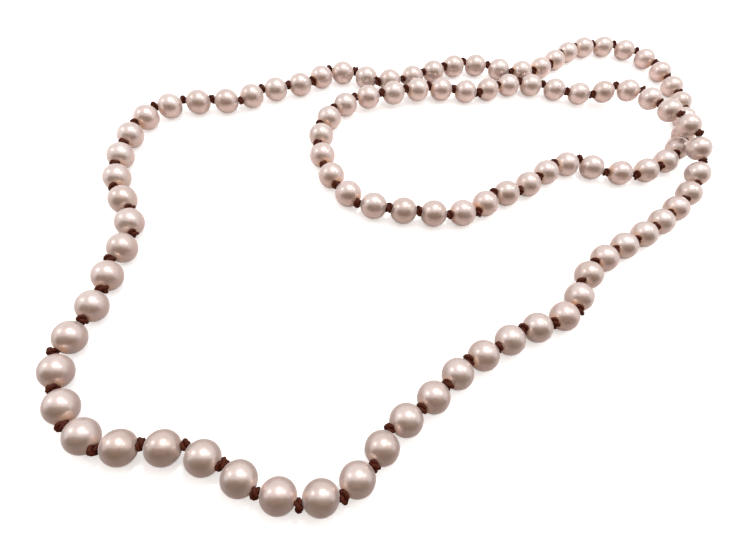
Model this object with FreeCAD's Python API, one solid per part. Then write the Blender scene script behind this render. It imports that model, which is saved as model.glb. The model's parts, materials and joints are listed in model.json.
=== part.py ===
"""Endless knotted pearl necklace, lying on a flat surface in a double loop.

Round drilled pearls sit on one thin cord, with a knot between every two pearls.
The strand lies in a large outer loop and a smaller inner loop, and passes over
itself once. It is divided at knots into links of three or four pearls, and every
link has two nodes: its pearls and its length of knotted cord. Links with an even
number tilt about the knots at their two ends, so they carry both of those knots.
The middle link, which the strand passes over, is the one that stays still, and the
ring of links is open at the knot where the first link starts.

Millimetres, +Z up, Z = 0 on the surface that the pearls lie on.
"""
import FreeCAD, Part
import math
import os

Vector = FreeCAD.Vector

# Pearls
PEARL_DIAMETER = 9.8
PEARL_RADIUS = PEARL_DIAMETER / 2
DRILL_RADIUS = 0.6
DRILL_CHAMFER = 0.2

# Cord and knots
CORD_RADIUS = 0.45
CORD_END_GAP = 0.65  # from a knot's centre to the end of the next link's cord
KNOT_RADIUS = 0.5
KNOT_END_RADIUS = 0.2
KNOT_WIDTH = 3.0
KNOT_OFFSET = 0.7  # how far a knot sits towards the outside of the strand's bend

# The strand in order: how many pearls a link has, then the points that its cord
# passes as (x, y, height above the lying strand). The first point of a link is the
# knot where it starts, and the last link ends at the first link's first knot.
LINKS = (
    (3, ((13.0, -64.0, 0.0), (3.5, -69.0, 0.0), (-4.5, -77.0, 0.0))),
    (3, ((-12.5, -84.5, 0.0), (-21.0, -91.0, 0.0), (-26.5, -100.5, 0.0))),
    (4, ((-34.5, -108.0, 0.0), (-56.5, -107.5, 0.0))),
    (4, ((-76.5, -97.5, 0.0), (-88.0, -97.5, 0.0), (-99.0, -98.0, 0.0))),
    (3, ((-114.0, -82.5, 0.0), (-117.0, -71.5, 0.0), (-113.0, -61.0, 0.0))),
    (3, ((-110.5, -50.0, 0.0), (-110.0, -39.0, 0.0), (-107.0, -28.0, 0.0))),
    (3, ((-110.5, -17.0, 0.0), (-116.5, -7.5, 0.0))),
    (4, ((-119.5, 14.5, 0.0), (-112.5, 36.0, 0.0))),
    (4, ((-91.5, 43.5, 0.0), (-80.5, 45.5, 0.0), (-72.0, 52.5, 0.0))),
    (4, ((-52.0, 61.5, 0.0), (-44.5, 69.5, 0.0), (-33.5, 70.0, 0.0), (-23.5, 65.5, 0.0))),
    (4, ((-12.5, 68.5, 0.0), (7.0, 79.0, 0.0), (17.0, 84.0, 0.0))),
    (3, ((28.5, 83.5, 0.0), (39.5, 81.0, 0.0), (50.0, 83.0, 0.0))),
    (3, ((59.5, 89.5, 0.0), (71.0, 101.5, 0.0))),
    (4, ((86.0, 108.5, 0.0), (108.0, 106.0, 0.0))),
    (4, ((118.0, 86.0, 0.0), (118.5, 63.0, 0.0))),
    (4, ((110.0, 41.0, 0.0), (93.5, 23.5, 0.5))),
    (4, ((69.5, 18.5, 0.0), (58.5, 23.0, 0.0), (48.0, 19.5, 0.0))),
    (4, ((31.0, 5.0, 0.0), (21.0, 1.0, 0.0), (13.0, -7.0, 0.0))),
    (4, ((-9.0, -9.5, 0.0), (-31.0, -6.5, 0.0))),
    (4, ((-44.0, 11.0, 0.0), (-46.0, 33.5, 0.0))),
    (3, ((-33.0, 51.5, 0.5), (-16.0, 56.5, 1.5))),
    (3, ((-0.5, 63.0, 0.5), (10.5, 63.5, 0.0), (21.5, 63.5, 0.0))),
    (3, ((31.5, 69.0, 0.0), (48.0, 72.5, 0.0))),
    (4, ((64.0, 69.0, 0.0), (74.5, 67.0, 1.0), (85.0, 69.0, 4.0), (94.5, 64.5, 6.5))),
    (3, ((99.5, 54.0, 8.0), (106.5, 38.0, 11.2))),
    (3, ((109.5, 23.5, 4.5), (102.0, 9.0, 0.0))),
    (3, ((89.5, -3.0, 0.0), (76.5, -13.5, 0.0))),
    (3, ((62.0, -22.5, 0.0), (53.5, -29.0, 0.0), (46.5, -38.0, 0.0))),
    (3, ((42.0, -48.0, 0.0), (32.5, -54.0, 0.0), (22.0, -57.5, 0.0))),
)


def route_curve():
    """The closed smooth curve through all points, and each link's first parameter."""
    points = [Vector(x, y, z) for _, stops in LINKS for x, y, z in stops]
    closed = points + points[:1]
    parameters = [0.0]
    for a, b in zip(closed, closed[1:]):
        parameters.append(parameters[-1] + a.distanceToPoint(b))
    curve = Part.BSplineCurve()
    curve.interpolate(Points=points, PeriodicFlag=True, Parameters=parameters)
    starts = []
    passed = 0
    for _, stops in LINKS:
        starts.append(parameters[passed])
        passed += len(stops)
    return curve, starts + parameters[-1:]


def on_strand(curve, parameter):
    """A point of the cord, which is never lower than it is in a pearl that lies flat."""
    point = curve.value(parameter)
    return Vector(point.x, point.y, max(point.z, 0.0) + PEARL_RADIUS)


def lay_out_knots():
    """Every knot in order, evenly spaced inside each link, with the necklace centred."""
    curve, starts = route_curve()
    knots = []
    for (count, _), begin, end in zip(LINKS, starts, starts[1:]):
        step = curve.length(begin, end) / count
        inner = [curve.parameterAtDistance(step * k, begin) for k in range(1, count)]
        knots += [on_strand(curve, u) for u in [begin] + inner]
    centres = [(a + b) * 0.5 for a, b in zip(knots, knots[1:] + knots[:1])]
    middle_x = (min(c.x for c in centres) + max(c.x for c in centres)) / 2
    middle_y = (min(c.y for c in centres) + max(c.y for c in centres)) / 2
    return [knot - Vector(middle_x, middle_y, 0) for knot in knots]


def across(start, end):
    """The level direction at right angles to the run between two points."""
    run = end - start
    return Vector(run.y, -run.x, 0).normalize()


def revolved(outline, axis_start, axis_direction):
    """A solid of revolution from a closed outline of edges."""
    face = Part.Face(Part.Wire(outline))
    return face.revolve(axis_start, axis_direction, 360)


def polyline(points):
    """The edges between points, in order."""
    return [Part.LineSegment(a, b).toShape() for a, b in zip(points, points[1:])]


def moved_to(solid, centre, direction):
    """A copy of a solid made at the origin along Z, turned and moved."""
    turn = FreeCAD.Rotation(Vector(0, 0, 1), direction)
    copy = solid.copy()
    copy.Placement = FreeCAD.Placement(centre, turn)
    return copy


def drilled_pearl():
    """One pearl at the origin, drilled along Z, with softened hole mouths."""
    mouth = DRILL_RADIUS + DRILL_CHAMFER
    half = math.sqrt(PEARL_RADIUS**2 - mouth**2)
    wall = half - DRILL_CHAMFER
    skin = Part.Arc(Vector(mouth, 0, half), Vector(PEARL_RADIUS, 0, 0), Vector(mouth, 0, -half))
    bore = polyline([
        Vector(mouth, 0, -half),
        Vector(DRILL_RADIUS, 0, -wall),
        Vector(DRILL_RADIUS, 0, wall),
        Vector(mouth, 0, half),
    ])
    return revolved([skin.toShape()] + bore, Vector(0, 0, 0), Vector(0, 0, 1))


def pulled_knot():
    """One tight knot at the origin: a small barrel that lies along Z."""
    end = KNOT_WIDTH / 2
    side = Part.Arc(
        Vector(KNOT_END_RADIUS, 0, end), Vector(KNOT_RADIUS, 0, 0), Vector(KNOT_END_RADIUS, 0, -end)
    )
    rest = polyline([
        Vector(KNOT_END_RADIUS, 0, -end),
        Vector(0, 0, -end),
        Vector(0, 0, end),
        Vector(KNOT_END_RADIUS, 0, end),
    ])
    return revolved([side.toShape()] + rest, Vector(0, 0, 0), Vector(0, 0, 1))


def cord_run(start, end):
    """The straight piece of cord between two points."""
    return Part.makeCylinder(CORD_RADIUS, start.distanceToPoint(end), start, end - start)


def tied_knot(knot, before, centre, after):
    """A knot that lies across the strand, towards the outside of the bend it is in."""
    level = across(before, after)
    outside = (centre * 2 - before - after).dot(level)
    return moved_to(knot, centre + level * math.copysign(KNOT_OFFSET, outside), level)


def pearls_of(stops, pearl):
    """A link's pearls, each midway between two knots and drilled in line with them."""
    solids = [moved_to(pearl, (a + b) * 0.5, b - a) for a, b in zip(stops, stops[1:])]
    return Part.makeCompound(solids)


def knotted_cord(before, stops, after, knot, owns_first, owns_last):
    """A link's cord as one solid: its runs through the pearls and the knots it owns."""
    ends = list(stops)
    if not owns_first:
        ends[0] = stops[0] + (stops[1] - stops[0]).normalize() * CORD_END_GAP
    if not owns_last:
        ends[-1] = stops[-1] + (stops[-2] - stops[-1]).normalize() * CORD_END_GAP
    solids = [cord_run(a, b) for a, b in zip(ends, ends[1:])]
    near = ([before] if owns_first else []) + stops + ([after] if owns_last else [])
    solids += [tied_knot(knot, a, b, c) for a, b, c in zip(near, near[1:], near[2:])]
    return solids[0].multiFuse(solids[1:])


def main():
    os.makedirs("parts", exist_ok=True)
    pearl = drilled_pearl()
    knot = pulled_knot()
    knots = lay_out_knots()
    ring = knots[-1:] + knots + knots[:2]
    first = 1
    for number, (count, _) in enumerate(LINKS, start=1):
        last = first + count
        stops = ring[first : last + 1]
        tilts = number % 2 == 0
        opens = number == 1
        cord = knotted_cord(ring[first - 1], stops, ring[last + 1], knot, tilts or opens, tilts)
        pearls_of(stops, pearl).exportStep(f"parts/pearls_{number:02d}.step")
        cord.exportStep(f"parts/knotted_cord_{number:02d}.step")
        first = last


if __name__ == "__main__":
    main()
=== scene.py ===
"""A long endless pearl necklace, knotted between every two pearls, on a pale table."""
import json
import math

import bpy
import numpy as np
from mathutils import Euler, Matrix, Vector

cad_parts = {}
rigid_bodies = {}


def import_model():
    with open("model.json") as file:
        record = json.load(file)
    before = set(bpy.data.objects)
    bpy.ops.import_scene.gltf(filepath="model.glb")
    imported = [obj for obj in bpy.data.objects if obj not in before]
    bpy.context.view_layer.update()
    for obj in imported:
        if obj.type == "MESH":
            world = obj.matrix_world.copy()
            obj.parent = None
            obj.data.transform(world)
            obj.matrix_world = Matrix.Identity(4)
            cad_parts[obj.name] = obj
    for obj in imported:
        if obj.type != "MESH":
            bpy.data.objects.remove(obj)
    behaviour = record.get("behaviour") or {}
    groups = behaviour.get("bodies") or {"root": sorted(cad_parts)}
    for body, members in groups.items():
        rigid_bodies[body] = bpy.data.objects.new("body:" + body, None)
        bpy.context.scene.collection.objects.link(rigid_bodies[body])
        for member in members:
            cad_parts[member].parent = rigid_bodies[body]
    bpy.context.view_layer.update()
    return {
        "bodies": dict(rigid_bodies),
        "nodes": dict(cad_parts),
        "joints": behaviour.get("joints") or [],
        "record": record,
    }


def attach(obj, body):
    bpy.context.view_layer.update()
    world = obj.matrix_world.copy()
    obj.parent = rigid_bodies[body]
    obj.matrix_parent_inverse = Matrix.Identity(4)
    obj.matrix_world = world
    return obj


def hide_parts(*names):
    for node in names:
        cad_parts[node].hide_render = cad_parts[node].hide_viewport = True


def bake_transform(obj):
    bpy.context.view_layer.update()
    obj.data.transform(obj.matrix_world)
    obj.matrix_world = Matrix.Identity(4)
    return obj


# All lengths are in metres.
MM = 0.001
TURN = 6.28                    # radians, near enough a whole turn for a chance angle

# Pearls
PEARL_RADIUS = 4.9 * MM
DRILL_RADIUS = 0.6 * MM
DRILL_ROUNDING = 0.2 * MM
DRILL_CORNER = 0.3             # how far into the rounding its middle point lies
PEARL_SEGMENTS = 56
PEARL_RINGS = 34
PEARL_UNEVENNESS = 0.0035      # of the radius
NACRE_WAVES = (1.5, 2.5, 4.0)  # how fine the waves of that unevenness are
NACRE_SHRINK = 0.6             # taken off them, so that a pearl hardly outgrows the CAD's
NACRE_COLOURS = ((0.30, (0.62, 0.515, 0.475)), (0.50, (0.68, 0.575, 0.54)), (0.72, (0.72, 0.625, 0.595)))
NACRE_TINTS = ((0.0, (0.93, 0.88, 0.85)), (0.5, (1.0, 1.0, 1.0)), (1.0, (1.0, 0.95, 0.95)))
NACRE_ROUGHNESS = (0.31, 0.40)
NACRE_LUSTRE = (0.2, 0.85)     # how metallic a pearl is at its drill holes, and elsewhere
# Warm orange on the pearls near their drill holes: partly a stain from the cord, partly a painted reflection
# of the red knots beside them.
STAIN_AND_REFLECTION_CORE = 1.7 * MM          # the warm tint is strongest this near to the drill axis
STAIN_AND_REFLECTION_REACH = 3.5 * MM         # and ends here
STAIN_AND_REFLECTION_STRENGTH = 0.85
STAIN_AND_REFLECTION_SPREAD = (0.3, 1.0)      # the palest and the strongest tint, as a part of that
STAIN_AND_REFLECTION_COLOUR = (0.74, 0.44, 0.26)

# Cord and knots
CORD_RADIUS = 0.45 * MM
JOINT_CORD_RADIUS = 1.02 * CORD_RADIUS      # covers the ends of the two links' cords
CORD_SEGMENTS = 12
CORD_PLIES = 3
PLY_PITCH = 3.2 * MM           # from one ply ridge to the next, along the cord
PLY_DEPTH = 0.10               # of the cord's radius
FIBRE_STRETCH = (1.2, 14.0, 1.0)            # noise scale along the cord and round it
FIBRE_COLOURS = ((0.30, (0.014, 0.002, 0.001)), (0.52, (0.060, 0.0105, 0.004)), (0.75, (0.18, 0.038, 0.015)))
WORN_COLOUR = (0.09, 0.017, 0.007)
WORN_STRENGTH = 0.5
SILK_ROUGHNESS = (0.45, 0.75)
CORNER_RADIUS = 0.5 * MM       # how near to a knot a cord starts to turn
CORD_INSET = 1.5 * MM          # a link's cord stops this and a corner short of the knots at its ends
RUN_STEPS = 8                  # cross-sections of a cord inside one pearl
JOINT_CORNER_RADIUS = 0.3 * MM
STUB_REACH = 2.3 * MM          # how far from the knot at a joint its own cord reaches each way
STUB_STEPS = 7
KNOT_RING = 1.02 * MM          # radius of the loop that the cord is wound around
KNOT_WIND = 0.50 * MM          # radius of that winding
KNOT_STRAND = 0.56 * MM        # radius of the cord in a knot
KNOT_STEPS = 84
KNOT_TWISTS = 21               # ply ridges along a knot's length of cord
KNOT_WIDTHS = (0.74, 1.16)     # least and most scale across the drill axis
KNOT_LENGTHS = (1.1, 1.5)      # and along it
KNOT_TILT = 0.30               # radians, either way
KNOT_LEAN = 1.2 * MM           # how far a knot sits off the drill axis
JOINT_KNOT_LEAN = 1.0 * MM
BEND_PULL = 8                  # how strongly the strand's bend decides a knot's side
SIDE_SWAY = 0.35               # chance sideways lean, as a part of a full one
UP_LEANS = (0.5, 1.0)          # least and most upward lean
WEDGE_CLEARANCE = 0.03 * MM    # between a knot and the pearls it is wedged against

# Camera
CAMERA_PLACE = Vector((-41.8, -140.0, 151.9)) * MM
CAMERA_TARGET = Vector((-27.9, -38.7, 4.9)) * MM
CAMERA_ROLL = math.radians(9.5)
CAMERA_LENS = 26.42            # mm

# Light
KEY_DIRECTION = Vector((0.08, 0.24, 0.967))
KEY_DISTANCE = 1.0
KEY_SIZE = 0.13
KEY_POWER = 3.6
KEY_COLOUR = (1.0, 0.98, 0.96)
SIDE_LAMPS = (("lamp_right", Vector((0.60, 0.15, 0.79))), ("lamp_left", Vector((-0.79, 0.16, 0.59))))
SIDE_LAMP_DISTANCE = 1.2
SIDE_LAMP_SIZE = 0.17
SIDE_LAMP_POWER = 1.0
SIDE_LAMP_COLOUR = (1.0, 0.99, 0.98)
FILL_DIRECTION = Vector((0.1, -0.55, 0.83))
FILL_DISTANCE = 1.3
FILL_SIZE = 1.6
FILL_POWER = 8.0
FILL_COLOUR = (1.0, 0.98, 0.97)
ROOM_LIGHT = 1.0
WALL_COLOUR = (1.0, 0.985, 0.975)
TABLE_SIZE = 6.0
TABLE_GAP = 0.02 * MM                      # below the lowest pearls
TABLE_COLOUR = (0.95, 0.94, 0.935)
TABLE_PALE_COLOUR = (0.97, 0.965, 0.96)
TABLE_BOUNCE_NEAR = (0.165, 0.112, 0.088)   # the table's colour for every ray but the camera's, darker in front: the light it throws back at the pearls, and a painted dark reflection in their lower halves
TABLE_BOUNCE_FAR = (0.82, 0.71, 0.67)
TABLE_NEAR = -170 * MM                     # the first holds up to here, from the front
TABLE_FAR = 100 * MM                       # and the second from here on
TABLE_GLOW = 0.46                          # lifts the shadows, as overexposure does
FLAG_PLACE = Vector((0.0, -0.235, 0.22))   # the dark flag in front of the necklace: a glowing sheet, a painted dark reflection for the pearls
FLAG_WIDTH = 1.15
FLAG_HEIGHT = 0.42
# The flag's glow colours, a painted dark reflection: darkest at its foot, paler at its top.
FLAG_FOOT_COLOUR = (0.15, 0.085, 0.042)
FLAG_COLOUR = (0.245, 0.152, 0.082)
FLAG_TOP_COLOUR = (0.50, 0.42, 0.37)
FLAG_FOOT = (-0.45, -0.20)     # parts of its height, from its middle, where the dark foot fades
FLAG_TOP = (0.20, 0.50)        # and where the paler top comes in

# A Mix node's colour sockets
MIX_FIRST, MIX_SECOND, MIX_RESULT = 6, 7, 2

rng = np.random.default_rng(101)


def clear_defaults():
    """Takes away the start-up cube, light and camera."""
    for thing in list(bpy.data.objects):
        bpy.data.objects.remove(thing, do_unlink=True)


# ---------------------------------------------------------------- the strand's layout

def link_name(number):
    """The body's name for a link's number."""
    return f"link_{number:02d}"


def joint_places():
    """The knot that each pair of neighbouring links turns about."""
    places = {}
    for joint in frame["joints"]:
        first, second = sorted((joint["parent"], joint["child"]))
        places[first, second] = np.array(joint["pos_m"])
    return places


def pearl_centres(node, count):
    """The centres of a node's pearls, in order along the strand.

    The pearls are equal solids, so the node's points divide into equal blocks.
    """
    vertices = frame["nodes"][node].data.vertices
    points = np.empty(len(vertices) * 3)
    vertices.foreach_get("co", points)
    blocks = points.reshape(count, -1, 3)
    return (blocks.min(1) + blocks.max(1)) / 2


def strand():
    """For each link, its pearl centres and the knots before, between and after them."""
    places = joint_places()
    counts = frame["record"]["physics"]["collision_pieces"]
    links = []
    for number in range(1, len(frame["bodies"]) + 1):
        node = f"pearls_{number:02d}"
        centres = pearl_centres(node, counts[node])
        before = places.get((link_name(number - 1), link_name(number)))
        after = places.get((link_name(number), link_name(number + 1)))
        if before is None:
            knots = [after]
            for centre in centres[::-1]:
                knots.insert(0, 2 * centre - knots[0])
        else:
            knots = [before]
            for centre in centres:
                knots.append(2 * centre - knots[-1])
            if after is not None:
                knots[-1] = after
        links.append((centres, np.array(knots)))
    return links


# ---------------------------------------------------------------- mesh helpers

def unit(vector):
    """A vector's direction."""
    return vector / np.linalg.norm(vector)


def new_piece(name, points, faces, material, uvs=None):
    """A smooth-shaded mesh object. uvs has one pair for each face corner, in face order."""
    mesh = bpy.data.meshes.new(name)
    mesh.from_pydata([tuple(p) for p in points], [], faces)
    mesh.polygons.foreach_set("use_smooth", [True] * len(mesh.polygons))
    if uvs is not None:
        layer = mesh.uv_layers.new(name="along")
        layer.data.foreach_set("uv", np.asarray(uvs, np.float32).ravel())
    mesh.materials.append(material)
    mesh.validate()
    piece = bpy.data.objects.new(name, mesh)
    bpy.context.scene.collection.objects.link(piece)
    return piece


def tube_faces(rings, segments, closed):
    """Quads between neighbouring rings, with end caps on an open tube.

    With them comes the (ring, segment) of each face corner, in face order.
    """
    faces, keys = [], []
    for i in range(rings if closed else rings - 1):
        for j in range(segments):
            k, above = (j + 1) % segments, (i + 1) % rings
            faces.append((i * segments + j, i * segments + k, above * segments + k, above * segments + j))
            keys += [(i, j), (i, j + 1), (i + 1, j + 1), (i + 1, j)]
    if not closed:
        faces.append(tuple(range(segments - 1, -1, -1)))
        keys += [(0, j) for j in range(segments - 1, -1, -1)]
        faces.append(tuple((rings - 1) * segments + j for j in range(segments)))
        keys += [(rings - 1, j) for j in range(segments)]
    return faces, keys


def plied_tube(path, normals, radius, closed, turns=None):
    """A twisted cord along a path: points, faces and uvs (mm along, part of a turn round).

    turns is how many ply ridges pass one side of it. If it isn't given, PLY_PITCH sets it.
    """
    path = np.asarray(path)
    steps = np.roll(path, -1, 0) - path
    tangents = np.roll(steps, 1, 0) + steps if closed else np.gradient(path, axis=0)
    tangents /= np.linalg.norm(tangents, axis=1)[:, None]
    normals = normals - (normals * tangents).sum(1)[:, None] * tangents
    normals /= np.linalg.norm(normals, axis=1)[:, None]
    sides = np.cross(tangents, normals)
    lengths = np.linalg.norm(steps, axis=1)
    along = np.concatenate(([0.0], np.cumsum(lengths)))
    total = along[-1] if closed else along[-2]
    turns = turns or total / PLY_PITCH
    angles = np.arange(CORD_SEGMENTS) / CORD_SEGMENTS * 2 * math.pi
    points = []
    for i, place in enumerate(path):
        twist = 2 * math.pi * turns * along[i] / total
        swell = radius * (1 + PLY_DEPTH * np.cos(CORD_PLIES * angles - twist))
        ring = np.cos(angles)[:, None] * normals[i] + np.sin(angles)[:, None] * sides[i]
        points.append(place + swell[:, None] * ring)
    faces, keys = tube_faces(len(path), CORD_SEGMENTS, closed)
    uvs = [(along[i] / MM, j / CORD_SEGMENTS) for i, j in keys]
    return np.concatenate(points), faces, uvs


def joined(parts):
    """Several (points, faces, uvs) as one."""
    points, faces, uvs, offset = [], [], [], 0
    for part_points, part_faces, part_uvs in parts:
        points.append(part_points)
        faces += [tuple(i + offset for i in face) for face in part_faces]
        uvs += part_uvs
        offset += len(part_points)
    return np.concatenate(points), faces, uvs


# ---------------------------------------------------------------- pearls

def pearl_profile():
    """(distance from the drill axis, height) all the way round one side of a drilled pearl."""
    rim = DRILL_RADIUS + DRILL_ROUNDING
    top = math.asin(rim / PEARL_RADIUS)
    outside = [(PEARL_RADIUS * math.sin(a), PEARL_RADIUS * math.cos(a))
               for a in np.linspace(top, math.pi - top, PEARL_RINGS)]
    height = outside[0][1]
    corner = DRILL_CORNER * DRILL_ROUNDING
    rounding = [(DRILL_RADIUS + corner, corner), (DRILL_RADIUS, DRILL_ROUNDING)]
    lower = [(distance, drop - height) for distance, drop in rounding]
    upper = [(distance, height - drop) for distance, drop in rounding[::-1]]
    return outside + lower + [(DRILL_RADIUS, 0.0)] + upper


def uneven(points):
    """Pushes a round skin in and out by a few waves, as nacre grows."""
    directions = points / np.linalg.norm(points, axis=1)[:, None]
    swell = np.zeros(len(points))
    for waves in NACRE_WAVES:
        turned = directions @ rng.normal(size=(3, 2)) * waves
        swell += np.cos(turned + rng.uniform(0, TURN, 2)).sum(1) / (2 * waves)
    return points * (1 + PEARL_UNEVENNESS * (swell - NACRE_SHRINK))[:, None]


def pearl(name, centre, axis, material):
    """One pearl, drilled along axis. Its local Z is the drill hole."""
    profile = np.array(pearl_profile())
    angles = np.arange(PEARL_SEGMENTS) / PEARL_SEGMENTS * 2 * math.pi
    rings = [np.stack([d * np.cos(angles), d * np.sin(angles), np.full_like(angles, h)], 1)
             for d, h in profile]
    points = np.concatenate(rings)
    skin = slice(0, PEARL_RINGS * PEARL_SEGMENTS)
    points[skin] = uneven(points[skin])
    faces, _ = tube_faces(len(profile), PEARL_SEGMENTS, True)
    faces = [face[::-1] for face in faces]
    piece = new_piece(name, points, faces, material)
    tone = piece.data.attributes.new("tone", "FLOAT", "POINT")
    tone.data.foreach_set("value", np.full(len(points), rng.uniform(), np.float32))
    turn = Vector(axis).to_track_quat("Z", "Y").to_matrix().to_4x4()
    spin = Matrix.Rotation(rng.uniform(0, TURN), 4, "Z")
    piece.matrix_world = Matrix.Translation(centre) @ turn @ spin
    return piece


# ---------------------------------------------------------------- cord and knots

def knot_path():
    """An overhand knot pulled tight, wound about local Z, and the normals of its winding.

    The cord goes twice round the ring, and meanwhile three times round the ring's own line.
    """
    t = np.arange(KNOT_STEPS) / KNOT_STEPS * 2 * math.pi
    outward = np.stack([np.cos(2 * t), np.sin(2 * t), 0 * t], 1)
    wind = np.cos(3 * t)[:, None] * outward + np.sin(3 * t)[:, None] * np.array([0, 0, 1])
    return KNOT_RING * outward + KNOT_WIND * wind, wind


def turned_to(axis):
    """A rotation that takes local Z to axis, with a small tilt and any spin about it."""
    tilt = Euler(rng.uniform(-KNOT_TILT, KNOT_TILT, 2).tolist() + [0.0]).to_matrix()
    spin = Matrix.Rotation(rng.uniform(0, TURN), 3, "Z")
    return np.array(Vector(axis).to_track_quat("Z", "Y").to_matrix() @ tilt @ spin)


def tied_knot(place, axis, lean, neighbours):
    """A pulled overhand knot beside the drill axis, pressed against the pearls next to it."""
    path, wind = knot_path()
    size = np.array([rng.uniform(*KNOT_WIDTHS), rng.uniform(*KNOT_WIDTHS), rng.uniform(*KNOT_LENGTHS)])
    turn = turned_to(axis)
    points, faces, uvs = plied_tube(path * size, wind, KNOT_STRAND, True, KNOT_TWISTS)
    points = points @ turn.T + place + lean
    for centre in neighbours:
        away = points - centre
        distance = np.linalg.norm(away, axis=1)[:, None]
        pressed = np.maximum(distance, PEARL_RADIUS + WEDGE_CLEARANCE)
        points = centre + away / distance * pressed
    return points, faces, uvs


def upwards(path):
    """A straight-up normal for each point of a path."""
    return np.tile(np.array([0.0, 0.0, 1.0]), (len(path), 1))


def cord_along(stops):
    """Cord that is straight inside each pearl and turns gently at the knots."""
    path = []
    for start, end in zip(stops[:-1], stops[1:]):
        near, far = CORNER_RADIUS, np.linalg.norm(end - start) - CORNER_RADIUS
        direction = unit(end - start)
        path += [start + direction * d for d in np.linspace(near, far, RUN_STEPS)]
    return plied_tube(path, upwards(path), CORD_RADIUS, False)


def lean_at(before, place, after, reach):
    """How a knot sits off the axis: to the outside of the strand's bend, and upwards."""
    chord = after - before
    inward = (before + after) / 2 - place
    side = unit(np.array([chord[1], -chord[0], 0.0]))
    bend = -float(inward @ side) / np.linalg.norm(chord)
    sideways = np.clip(bend * BEND_PULL, -1, 1) + rng.uniform(-SIDE_SWAY, SIDE_SWAY)
    return unit(side * sideways + np.array([0.0, 0.0, rng.uniform(*UP_LEANS)])) * reach


# ---------------------------------------------------------------- materials

def fresh_material(name, kind="ShaderNodeBsdfPrincipled"):
    """A node material that holds one shader, wired to its output."""
    material = bpy.data.materials.new(name)
    material.use_nodes = True
    nodes, links = material.node_tree.nodes, material.node_tree.links
    nodes.clear()
    shader = nodes.new(kind)
    output = nodes.new("ShaderNodeOutputMaterial")
    links.new(shader.outputs[0], output.inputs["Surface"])
    return material, nodes, links, shader


def noise(nodes, links, coordinate, scale, detail):
    """A noise texture's value on a coordinate socket."""
    node = nodes.new("ShaderNodeTexNoise")
    node.inputs["Scale"].default_value = scale
    node.inputs["Detail"].default_value = detail
    links.new(coordinate, node.inputs["Vector"])
    return node.outputs["Fac"]


def ramp(nodes, links, value, stops):
    """A colour ramp over (position, colour) stops."""
    node = nodes.new("ShaderNodeValToRGB")
    elements = node.color_ramp.elements
    while len(elements) < len(stops):
        elements.new(0.5)
    for element, (position, colour) in zip(elements, stops):
        element.position = position
        element.color = (*colour, 1.0)
    links.new(value, node.inputs["Fac"])
    return node.outputs["Color"]


def mixed(nodes, links, factor, first, second):
    """first where factor is 0, second where it is 1. Either may be a colour or a socket."""
    node = nodes.new("ShaderNodeMix")
    node.data_type = "RGBA"
    links.new(factor, node.inputs["Factor"])
    for value, socket in ((first, node.inputs[MIX_FIRST]), (second, node.inputs[MIX_SECOND])):
        if isinstance(value, tuple):
            socket.default_value = (*value, 1.0)
        else:
            links.new(value, socket)
    return node.outputs[MIX_RESULT]


def tinted(nodes, links, colour, tint):
    """One colour socket multiplied by another."""
    node = nodes.new("ShaderNodeMix")
    node.data_type = "RGBA"
    node.blend_type = "MULTIPLY"
    node.inputs["Factor"].default_value = 1.0
    links.new(colour, node.inputs[MIX_FIRST])
    links.new(tint, node.inputs[MIX_SECOND])
    return node.outputs[MIX_RESULT]


def product(nodes, links, first, second):
    """One value socket times another."""
    node = nodes.new("ShaderNodeMath")
    node.operation = "MULTIPLY"
    links.new(first, node.inputs[0])
    links.new(second, node.inputs[1])
    return node.outputs["Value"]


def bumped(nodes, links, shader, height, strength, distance):
    """Fine relief on a shader, from a height socket."""
    node = nodes.new("ShaderNodeBump")
    node.inputs["Strength"].default_value = strength
    node.inputs["Distance"].default_value = distance
    links.new(height, node.inputs["Height"])
    links.new(node.outputs["Normal"], shader.inputs["Normal"])


def ranged(nodes, links, value, low, high, out_low=0.0, out_high=1.0):
    """value rescaled smoothly from low..high to out_low..out_high."""
    node = nodes.new("ShaderNodeMapRange")
    node.interpolation_type = "SMOOTHSTEP"
    for name, number in (("From Min", low), ("From Max", high), ("To Min", out_low), ("To Max", out_high)):
        node.inputs[name].default_value = number
    links.new(value, node.inputs["Value"])
    return node.outputs["Result"]


def drill_distance(nodes, links, position):
    """The distance of a point on a pearl from its drill axis."""
    flat = nodes.new("ShaderNodeVectorMath")
    flat.operation = "MULTIPLY"
    flat.inputs[1].default_value = (1.0, 1.0, 0.0)
    links.new(position, flat.inputs[0])
    length = nodes.new("ShaderNodeVectorMath")
    length.operation = "LENGTH"
    links.new(flat.outputs["Vector"], length.inputs[0])
    return length.outputs["Value"]


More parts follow.
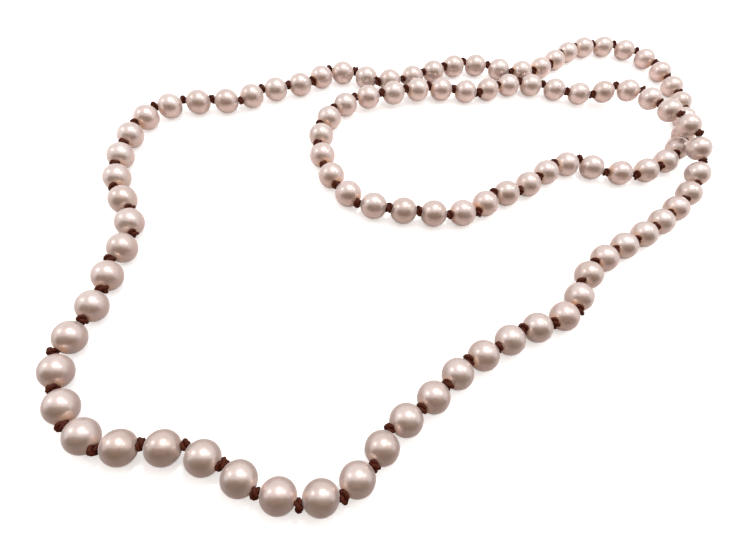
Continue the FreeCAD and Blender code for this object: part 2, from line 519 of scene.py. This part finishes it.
def pearl_material():
    """Nacre: a pinkish beige body with a soft metallic lustre under a thin clear gloss."""
    material, nodes, links, shader = fresh_material("pearl_nacre")
    position = nodes.new("ShaderNodeTexCoord").outputs["Object"]
    own = nodes.new("ShaderNodeAttribute")
    own.attribute_name = "tone"
    tone = own.outputs["Fac"]
    clouds = noise(nodes, links, position, scale=210.0, detail=3.0)
    body = ramp(nodes, links, clouds, NACRE_COLOURS)
    clean = tinted(nodes, links, body, ramp(nodes, links, tone, NACRE_TINTS))
    from_drill = drill_distance(nodes, links, position)
    # Warm orange near the drill holes: partly a cord stain, partly a painted reflection of the red knots.
    near_drill = ranged(nodes, links, from_drill, STAIN_AND_REFLECTION_CORE, STAIN_AND_REFLECTION_REACH, STAIN_AND_REFLECTION_STRENGTH, 0.0)
    stain_and_reflection = product(nodes, links, near_drill, ranged(nodes, links, tone, 0.1, 0.9, *STAIN_AND_REFLECTION_SPREAD))
    links.new(mixed(nodes, links, stain_and_reflection, clean, STAIN_AND_REFLECTION_COLOUR), shader.inputs["Base Color"])
    lustre = ranged(nodes, links, from_drill, STAIN_AND_REFLECTION_CORE, STAIN_AND_REFLECTION_REACH, *NACRE_LUSTRE)
    links.new(lustre, shader.inputs["Metallic"])
    grain = noise(nodes, links, position, scale=700.0, detail=2.0)
    links.new(ranged(nodes, links, grain, 0.3, 0.7, *NACRE_ROUGHNESS), shader.inputs["Roughness"])
    bumped(nodes, links, shader, grain, strength=0.06, distance=0.02 * MM)
    shader.inputs["Coat Weight"].default_value = 0.7
    shader.inputs["Coat Roughness"].default_value = 0.06
    shader.inputs["Coat IOR"].default_value = 1.55
    shader.inputs["Sheen Weight"].default_value = 1.0
    shader.inputs["Sheen Roughness"].default_value = 0.45
    shader.inputs["Sheen Tint"].default_value = (1.0, 0.92, 0.91, 1.0)
    return material


def cord_material():
    """Dark red-brown silk: fine fibres along the cord, and worn patches."""
    material, nodes, links, shader = fresh_material("silk_cord")
    along = nodes.new("ShaderNodeUVMap").outputs["UV"]
    stretch = nodes.new("ShaderNodeMapping")
    stretch.inputs["Scale"].default_value = FIBRE_STRETCH
    links.new(along, stretch.inputs["Vector"])
    fibres = noise(nodes, links, stretch.outputs["Vector"], scale=2.2, detail=4.0)
    position = nodes.new("ShaderNodeTexCoord").outputs["Object"]
    patches = noise(nodes, links, position, scale=900.0, detail=2.0)
    worn = ranged(nodes, links, patches, 0.45, 0.75, 0.0, WORN_STRENGTH)
    fibre_colour = ramp(nodes, links, fibres, FIBRE_COLOURS)
    links.new(mixed(nodes, links, worn, fibre_colour, WORN_COLOUR), shader.inputs["Base Color"])
    bumped(nodes, links, shader, fibres, strength=0.6, distance=0.08 * MM)
    links.new(ranged(nodes, links, fibres, 0.3, 0.7, *SILK_ROUGHNESS), shader.inputs["Roughness"])
    shader.inputs["Specular IOR Level"].default_value = 0.15
    return material


def table_material():
    """A matt white table with hardly visible mottling. To the camera it is white, with a painted glow that
    lifts its shadows; to every other ray it is darker in front, so it throws less light back up there and
    paints a dark reflection into the pearls' lower halves.
    """
    material, nodes, links, shader = fresh_material("white_table")
    position = nodes.new("ShaderNodeTexCoord").outputs["Object"]
    mottle = noise(nodes, links, position, scale=40.0, detail=3.0)
    pale = ramp(nodes, links, mottle, ((0.3, TABLE_COLOUR), (0.7, TABLE_PALE_COLOUR)))
    parts = nodes.new("ShaderNodeSeparateXYZ")
    links.new(position, parts.inputs["Vector"])
    # Painted reflection: a darker table colour for every ray but the camera's, darkest in front.
    far = ranged(nodes, links, parts.outputs["Y"], TABLE_NEAR, TABLE_FAR)
    bounce = mixed(nodes, links, far, TABLE_BOUNCE_NEAR, TABLE_BOUNCE_FAR)
    seen = nodes.new("ShaderNodeLightPath").outputs["Is Camera Ray"]
    links.new(mixed(nodes, links, seen, bounce, pale), shader.inputs["Base Color"])
    # Painted light: a glow that only the camera sees, lifting the table's shadows.
    shader.inputs["Emission Color"].default_value = (1.0, 1.0, 1.0, 1.0)
    links.new(ranged(nodes, links, seen, 0.0, 1.0, 0.0, TABLE_GLOW), shader.inputs["Emission Strength"])
    shader.inputs["Roughness"].default_value = 0.7
    return material


# ---------------------------------------------------------------- the necklace

def lay_pearls(links, material):
    """Every pearl as its own piece, on its link."""
    number = 0
    for index, (centres, knots) in enumerate(links, 1):
        for centre, start, end in zip(centres, knots[:-1], knots[1:]):
            number += 1
            piece = pearl(f"pearl_{number:03d}", centre, unit(end - start), material)
            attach(piece, link_name(index))
            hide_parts(f"pearls_{index:02d}")


def lay_cord(links, material):
    """Each link's cord, with the knots between that link's own pearls."""
    for index, (centres, knots) in enumerate(links, 1):
        first, last = unit(knots[1] - knots[0]), unit(knots[-1] - knots[-2])
        stops = [knots[0] + first * CORD_INSET, *knots[1:-1], knots[-1] - last * CORD_INSET]
        parts = [cord_along(stops)]
        for i in range(1, len(knots) - 1):
            axis = unit(knots[i + 1] - knots[i - 1])
            lean = lean_at(knots[i - 1], knots[i], knots[i + 1], KNOT_LEAN)
            parts.append(tied_knot(knots[i], axis, lean, (centres[i - 1], centres[i])))
        points, faces, uvs = joined(parts)
        piece = new_piece(f"cord_{index:02d}", points, faces, material, uvs)
        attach(piece, link_name(index))
        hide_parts(f"knotted_cord_{index:02d}")


def lay_joint_knots(links, material):
    """The knot between each two links, left fixed in place, apart from the last one.

    The CAD gives each such knot to its link with an even number. The strand is opened at
    its last knot, which stays on link 1.
    """
    for index, (centres, knots) in enumerate(links, 1):
        following = index % len(links) + 1
        next_centres, next_knots = links[following - 1]
        before, place, after = knots[-2], knots[-1], next_knots[1]
        axis = unit(after - before)
        into, onward = unit(place - before), unit(after - place)
        stub = np.linspace(JOINT_CORNER_RADIUS, STUB_REACH, STUB_STEPS)
        path = [place - into * d for d in stub[::-1]] + [place + onward * d for d in stub]
        lean = lean_at(before, place, after, JOINT_KNOT_LEAN)
        parts = [plied_tube(path, upwards(path), JOINT_CORD_RADIUS, False),
                 tied_knot(place, axis, lean, (centres[-1], next_centres[0]))]
        points, faces, uvs = joined(parts)
        piece = new_piece(f"knot_{index:02d}", points, faces, material, uvs)
        if following > 1:
            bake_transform(piece)
        else:
            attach(piece, link_name(following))
        owner = index if index % 2 == 0 else following
        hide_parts(f"knotted_cord_{owner:02d}")


# ---------------------------------------------------------------- table, camera, light

def table():
    """The surface that the necklace lies on, just below its lowest points."""
    bpy.ops.mesh.primitive_plane_add(size=TABLE_SIZE, location=(0, 0, -TABLE_GAP))
    plane = bpy.context.object
    plane.name = "table"
    plane.data.materials.append(table_material())


def aimed(place, target):
    """The placement of a camera or lamp that looks from place at target."""
    turn = (target - place).to_track_quat("-Z", "Y").to_matrix().to_4x4()
    return Matrix.Translation(place) @ turn


def camera():
    """The camera, turned a little about its own line of sight."""
    data = bpy.data.cameras.new("camera")
    data.lens = CAMERA_LENS
    data.clip_start = 0.01
    thing = bpy.data.objects.new("camera", data)
    roll = Matrix.Rotation(CAMERA_ROLL, 4, "Z")
    thing.matrix_world = aimed(CAMERA_PLACE, CAMERA_TARGET) @ roll
    bpy.context.scene.collection.objects.link(thing)
    bpy.context.scene.camera = thing


def area_light(name, direction, distance, size, power, colour, mirrored=True):
    """A square lamp facing the origin. One that isn't mirrored leaves no highlight."""
    data = bpy.data.lights.new(name, "AREA")
    data.size = size
    data.energy = power
    data.color = colour
    thing = bpy.data.objects.new(name, data)
    thing.visible_glossy = mirrored
    thing.matrix_world = aimed(direction.normalized() * distance, Vector())
    bpy.context.scene.collection.objects.link(thing)


def room():
    """White walls all round."""
    world = bpy.context.scene.world or bpy.data.worlds.new("room")
    bpy.context.scene.world = world
    world.use_nodes = True
    nodes, links = world.node_tree.nodes, world.node_tree.links
    nodes.clear()
    background = nodes.new("ShaderNodeBackground")
    background.inputs["Color"].default_value = (*WALL_COLOUR, 1.0)
    background.inputs["Strength"].default_value = ROOM_LIGHT
    output = nodes.new("ShaderNodeOutputWorld")
    links.new(background.outputs["Background"], output.inputs["Surface"])


def dark_flag():
    """A brown studio flag in front of the necklace: a glowing sheet that the camera doesn't see and that
    casts no shadow, seen only in the pearls' lower halves as a painted dark reflection.
    """
    bpy.ops.mesh.primitive_plane_add(size=1.0, location=FLAG_PLACE, rotation=(math.radians(90), 0, 0))
    flag = bpy.context.object
    flag.name = "dark_flag"
    flag.scale = (FLAG_WIDTH, FLAG_HEIGHT, 1.0)
    # Emission, though it is no lamp: the colours of the painted dark reflection.
    material, nodes, links, glow = fresh_material("flag", "ShaderNodeEmission")
    height = nodes.new("ShaderNodeSeparateXYZ")
    links.new(nodes.new("ShaderNodeTexCoord").outputs["Object"], height.inputs["Vector"])
    above_foot = ranged(nodes, links, height.outputs["Y"], *FLAG_FOOT)
    lower = mixed(nodes, links, above_foot, FLAG_FOOT_COLOUR, FLAG_COLOUR)
    top = ranged(nodes, links, height.outputs["Y"], *FLAG_TOP)
    links.new(mixed(nodes, links, top, lower, FLAG_TOP_COLOUR), glow.inputs["Color"])
    flag.data.materials.append(material)
    flag.visible_camera = False
    flag.visible_shadow = False


def studio():
    """Walls, flag and lamps, with the plain view transform that keeps the table white."""
    room()
    dark_flag()
    area_light("key", KEY_DIRECTION, KEY_DISTANCE, KEY_SIZE, KEY_POWER, KEY_COLOUR)
    for name, direction in SIDE_LAMPS:
        area_light(name, direction, SIDE_LAMP_DISTANCE, SIDE_LAMP_SIZE, SIDE_LAMP_POWER, SIDE_LAMP_COLOUR)
    area_light("fill", FILL_DIRECTION, FILL_DISTANCE, FILL_SIZE, FILL_POWER, FILL_COLOUR, mirrored=False)
    bpy.context.scene.view_settings.view_transform = "Standard"


clear_defaults()
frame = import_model()
necklace = strand()
nacre = pearl_material()
silk = cord_material()
lay_pearls(necklace, nacre)
lay_cord(necklace, silk)
lay_joint_knots(necklace, silk)
table()
camera()
studio()
